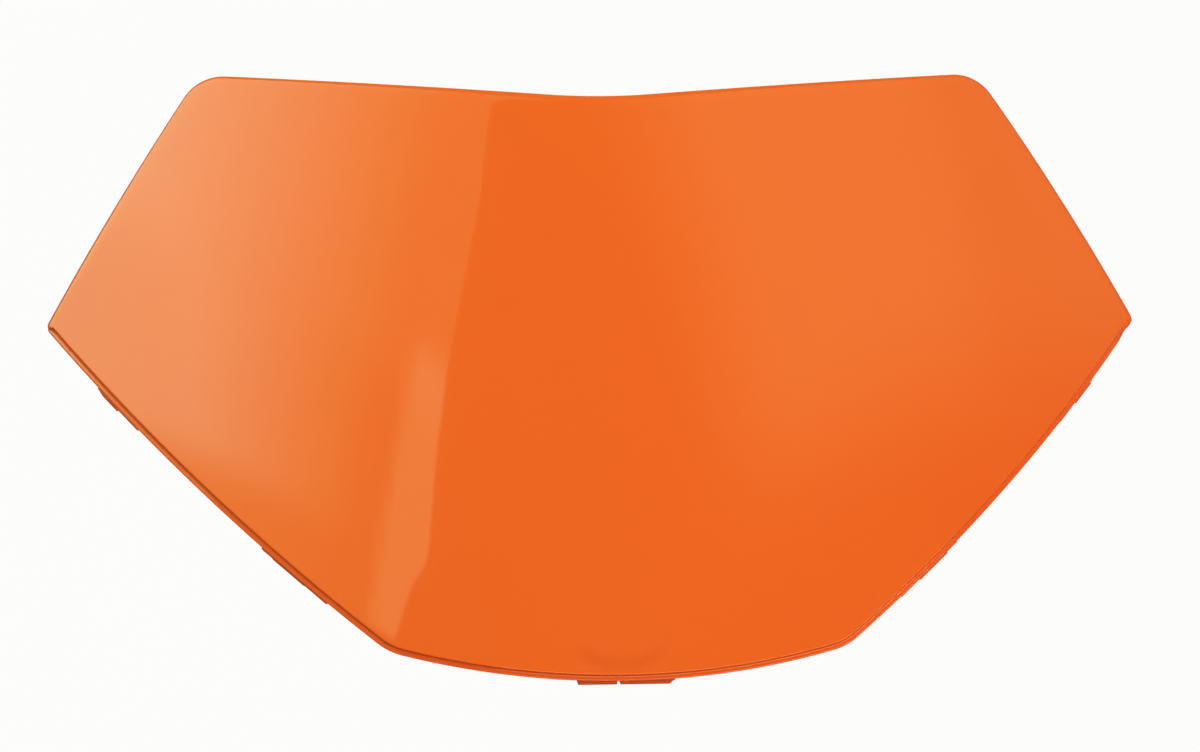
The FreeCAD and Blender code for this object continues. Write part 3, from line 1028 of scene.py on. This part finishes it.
@dataclass
class FillSoftbox(Softbox):
    """The dim softbox on the right, which fades out downwards, towards the middle and to its far side."""

    foot: Pair = (-620.0, -200.0)
    middle: Pair = (760.0, 100.0)
    far_glow: float = 0.5
    outer_rise: Pair = (-2100.0, -1300.0)
    outer_glow: float = 0.18
    inner_rise: Pair = (-900.0, -550.0)
    inner_glow: float = 0.32

    def glow(self, over: np.ndarray, up: np.ndarray) -> np.ndarray:
        """Gives the panel's brightness at a place on it, as a share of its power."""
        side = self.far_glow + self.outer_glow * smooth(over, *self.outer_rise)
        side = side + self.inner_glow * smooth(over, *self.inner_rise)
        return smooth(up, *self.foot) * smooth(over, *self.middle) * side


@dataclass
class Studio:
    """The pale floor and backdrop, the lights and the camera."""

    waist: Vector
    floor_drop: float = 0.45
    floor_flat: float = 2600.0
    floor_sweep: float = 900.0
    floor_top: float = 3200.0
    flat_rows: int = 29
    sweep_rows: int = 33
    wall_rows: int = 12
    floor_columns: int = 96
    yaw: float = math.radians(5.0)
    distance: float = 1.0
    focal_px: float = 4557.0
    centre_px: Pair = (612.716, 394.56)
    picture: tuple[int, int] = (1200, 752)
    roll: float = 0.0088
    sensor: float = 36.0
    sight: float = 50.0

    def build(self) -> None:
        """Makes the floor, the lights and the camera."""
        self.floor()
        self.lights()
        self.camera()

    def floor(self) -> bpy.types.Object:
        """Makes a round floor with a wall: a line, a quarter turn and a line, turned about z."""
        radius, flat = self.floor_sweep, self.floor_flat
        turn = np.linspace(0.0, math.pi / 2.0, self.sweep_rows)
        level = np.linspace(0.0, flat, self.flat_rows, endpoint=False)
        wall = np.linspace(radius, self.floor_top, self.wall_rows + 1)[1:]
        out = np.concatenate([level, flat + radius * np.sin(turn), np.full(len(wall), flat + radius)])
        height = np.concatenate([np.zeros(len(level)), radius * (1.0 - np.cos(turn)), wall])
        angle = np.linspace(0.0, 2.0 * math.pi, self.floor_columns, endpoint=False)
        grid = np.empty((len(out), len(angle), 3))
        grid[..., 0] = out[:, None] * np.cos(angle)
        grid[..., 1] = out[:, None] * np.sin(angle)
        grid[..., 2] = height[:, None] - self.floor_drop / MM
        surface = Surface()
        surface.grid(grid, wrap=True)
        backdrop = surface.piece("studio_floor")
        finish = PaleBackdrop("pale_backdrop", colour=(0.05, 0.05, 0.05), glow=0.957)
        backdrop.data.materials.append(finish.material())
        # The floor throws no light back on to the plate, so the plate's underside stays dark
        backdrop.visible_diffuse = False
        backdrop.visible_glossy = False
        backdrop.visible_shadow = False
        return backdrop

    def lights(self) -> None:
        """Makes the softboxes and a dim surround."""
        cool = {"dim": (0.62, 1.0, 0.30), "bright": (0.62, 1.0, 0.62)}
        warm = {"dim": (1.0, 0.92, 0.45), "bright": (1.0, 0.92, 0.45)}
        key_edge = (
            (-555.0, -700.0), (-430.0, -735.0), (-350.0, -793.0), (-120.0, -745.0), (50.0, -720.0),
            (450.0, -700.0), (660.0, -645.0), (800.0, -690.0), (1000.0, -850.0),
        )
        key = KeySoftbox(
            "key_softbox", azimuth=-45.0, elevation=42.0, near_edge=key_edge, far_edge=2200.0,
            low=-555.0, high=1000.0, power=4.0, **cool,
        )
        fill = FillSoftbox(
            "fill_softbox", azimuth=40.0, elevation=45.0, near_edge=((0.0, -2200.0),), far_edge=900.0,
            low=-620.0, high=700.0, power=1.1, **cool,
        )
        # The front one lies below what the face reflects, and the back one behind it: both only light it
        front = Softbox(
            "front_softbox", azimuth=24.0, elevation=2.0, near_edge=((0.0, -1700.0),), far_edge=1500.0,
            low=-420.0, high=440.0, power=4.3, **warm,
        )
        back = Softbox(
            "back_softbox", azimuth=180.0, elevation=30.0, near_edge=((0.0, -900.0),), far_edge=900.0,
            low=-500.0, high=500.0, power=2.0, **warm,
        )
        for panel in (key, fill, front, back):
            panel.build(self.waist)
        world = bpy.data.worlds.new("studio_surround")
        world.use_nodes = True
        world.node_tree.nodes["Background"].inputs["Color"].default_value = rgba(SURROUND)
        bpy.context.scene.world = world

    def camera(self) -> None:
        """Sets the camera where the picture was taken: a little to the left, level with the waist."""
        forward = Vector((math.sin(self.yaw), math.cos(self.yaw), 0.0))
        level = Vector((math.cos(self.yaw), -math.sin(self.yaw), 0.0))
        upward = Vector((0.0, 0.0, 1.0))
        right = level * math.cos(self.roll) - upward * math.sin(self.roll)
        up = level * math.sin(self.roll) + upward * math.cos(self.roll)
        width, height = self.picture
        lens = bpy.data.cameras.new("camera")
        lens.sensor_width = self.sensor
        lens.lens = self.focal_px * lens.sensor_width / width
        lens.shift_x = (width / 2.0 - self.centre_px[0]) / width
        lens.shift_y = (self.centre_px[1] - height / 2.0) / width
        lens.clip_end = self.sight
        item = bpy.data.objects.new("camera", lens)
        turn = Matrix((right, up, -forward)).transposed().to_4x4()
        item.matrix_world = Matrix.Translation(self.waist - forward * self.distance) @ turn
        bpy.context.scene.collection.objects.link(item)
        bpy.context.scene.camera = item
        bpy.context.scene.view_settings.view_transform = "Standard"


@dataclass
class NumberPlate:
    """The whole plate: its shell, and the clips, gussets and brace behind it."""

    barrel: Barrel = field(default_factory=Barrel)
    outline: Outline = field(default_factory=Outline)
    finish: MouldedPlastic = MouldedPlastic(
        "orange_plastic", colour=(0.83, 0.112, 0.010), deep=(0.70, 0.082, 0.008), polish=0.04, grain=0.38
    )
    upper_along: float = 24.8
    upper_width: float = 15.7
    lower_along: float = 78.1
    lower_width: float = 20.1
    side_proud: float = 0.5
    pieces: list[bpy.types.Object] = field(default_factory=list)

    def edge_place(self, along: float) -> tuple[Pair, float]:
        """Gives the place and outward angle on the right lower edge, at a length from the tip."""
        bow = self.outline.bows[Run.RIGHT_LOWER]
        tip = np.array(self.outline.tip) - bow.centre
        angle = math.atan2(tip[1], tip[0]) - along / bow.radius
        x, z = bow.centre + bow.radius * np.array([math.cos(angle), math.sin(angle)])
        return (float(x), float(z)), angle

    def clips(self) -> list[SnapClip]:
        """Sets out the clips: two on each lower edge and a slit one at the bottom."""
        made = [
            SnapClip(
                "bottom_clip",
                self.barrel,
                place=(1.2, 0.0),
                outward=-math.pi / 2.0,
                width=21.0,
                nose=(-10.4, 9.3),
                ramps=(0.1, 1.2),
                slit=0.6,
                slit_shift=-1.6,
                nose_proud=1.15,
            )
        ]
        upper, lower = (self.upper_along, self.upper_width), (self.lower_along, self.lower_width)
        for name, hand, (along, width), nose, ramps, nose_proud in (
            ("upper_clip_right", Hand.RIGHT, upper, (-0.2, 7.0), (0.3, 0.8), 1.0),
            ("upper_clip_left", Hand.LEFT, upper, (-0.2, 4.8), (0.3, 3.0), 0.85),
            ("lower_clip_right", Hand.RIGHT, lower, (-3.25, 6.25), (0.3, 0.5), 1.0),
            ("lower_clip_left", Hand.LEFT, lower, (-3.25, 6.25), (0.3, 0.5), 0.65),
        ):
            (x, z), angle = self.edge_place(along)
            if hand is Hand.LEFT:
                angle, nose, ramps = math.pi - angle, (-nose[1], -nose[0]), ramps[::-1]
            place, heights = (x * hand.value, z), {"proud": self.side_proud, "nose_proud": nose_proud}
            made.append(SnapClip(name, self.barrel, place, angle, width, nose, ramps, **heights))
        return made

    def build(self) -> None:
        """Makes the pieces and hands them to the frame."""
        brace = Brace("brace", self.barrel)
        self.pieces += [Shell(self.barrel, self.outline, brace).build(), brace.build()]
        for clip in self.clips():
            self.pieces.append(clip.build())
            for end, sign in (("first", -1.0), ("second", 1.0)):
                gusset = Gusset(f"{clip.name}_{end}_gusset", self.barrel, clip=clip)
                gusset.shift = sign * (clip.width - gusset.wall) / 2.0
                self.pieces.append(gusset.build())
        for piece in self.pieces:
            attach(piece, "root")
            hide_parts(NODE)

    def dress(self) -> None:
        """Gives every piece the plate's finish."""
        material = self.finish.material()
        for piece in self.pieces:
            piece.data.materials.append(material)
            log.info("%s: %d faces", piece.name, len(piece.data.polygons))


def main() -> None:
    """Builds the plate and the studio round it."""
    logging.basicConfig(level=logging.INFO, format="%(message)s")
    plate = NumberPlate()
    plate.build()
    plate.dress()
    waist_y, waist_z = plate.barrel.waist()
    Studio(Vector((0.0, waist_y, waist_z)) * MM).build()


if __name__ == "__main__":
    main()
